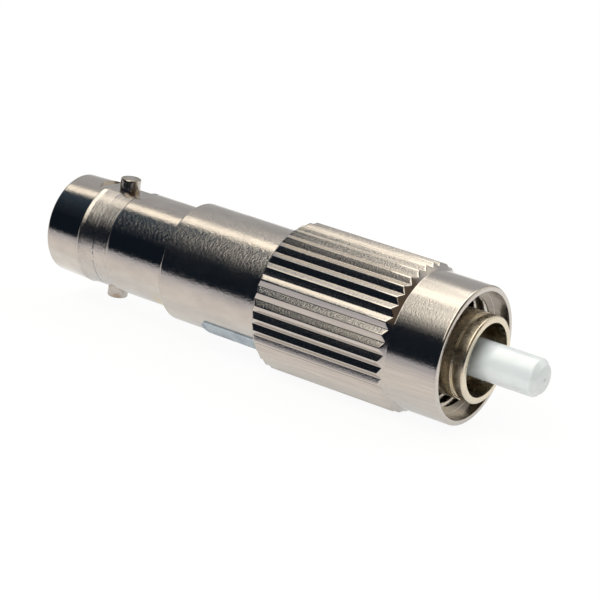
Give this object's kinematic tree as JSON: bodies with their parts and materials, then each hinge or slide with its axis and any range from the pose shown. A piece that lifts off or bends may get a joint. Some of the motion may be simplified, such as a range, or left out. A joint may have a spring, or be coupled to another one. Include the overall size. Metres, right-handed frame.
{
  "type": "fibre tester adapter",
  "caption": "Small plated adapter for fibre testers: a bayonet jack with two pins at one end, a ferrule plug with a fluted screw nut at the other.",
  "frame": {"origin": "on the adapter's axis at the front face of the plug frame, inside the nut's mouth", "axes": "+X along the axis and out of the plug's ferrule, +Z along the upper bayonet pin, -Y towards the picture's camera side"},
  "size_m": [0.0365, 0.0098, 0.0098],
  "materials": {
    "plated_barrel": "nickel plated, turned, satin",
    "plated_pins": "nickel plated, polished",
    "plated_nut": "nickel plated, brushed",
    "frame_metal": "nickel plated, turned",
    "inner_metal": "turned",
    "holder_plastic": "moulded, matte",
    "white_ceramic": "polished",
    "spring_steel": "drawn wire",
    "fibre_glass": "polished end",
    "label_paper": "matt, bare"
  },
  "bodies": {
    "body": {"barrel": "plated_barrel", "bayonet_pin_upper": "plated_pins", "bayonet_pin_lower": "plated_pins", "sleeve_holder": "holder_plastic", "split_sleeve": "white_ceramic", "spring_stop": "inner_metal", "ferrule_spring": "spring_steel", "plug_frame": "frame_metal", "frame_key": "frame_metal", "label": "label_paper"},
    "clip": {"nut_snap_ring": "spring_steel"},
    "nut": {"coupling_nut": "plated_nut"},
    "ferrules": {"front_ferrule": "white_ceramic", "rear_ferrule": "white_ceramic", "optical_fibre": "fibre_glass", "ferrule_carrier": "inner_metal"}
  },
  "joints": [
    {"name": "nut_slide", "type": "slide", "parent": "body", "child": "clip", "axis": [1, 0, 0], "range_m": [-0.002, 0.00025]},
    {"name": "nut_spin", "type": "hinge", "parent": "clip", "child": "nut", "pos_m": [0, 0, 0], "axis": [1, 0, 0], "continuous": true},
    {"name": "ferrule_slide", "type": "slide", "parent": "body", "child": "ferrules", "axis": [1, 0, 0], "range_m": [-0.001, 0], "stiffness_N_per_m": 1500, "deforming": ["ferrule_spring"]}
  ]
}
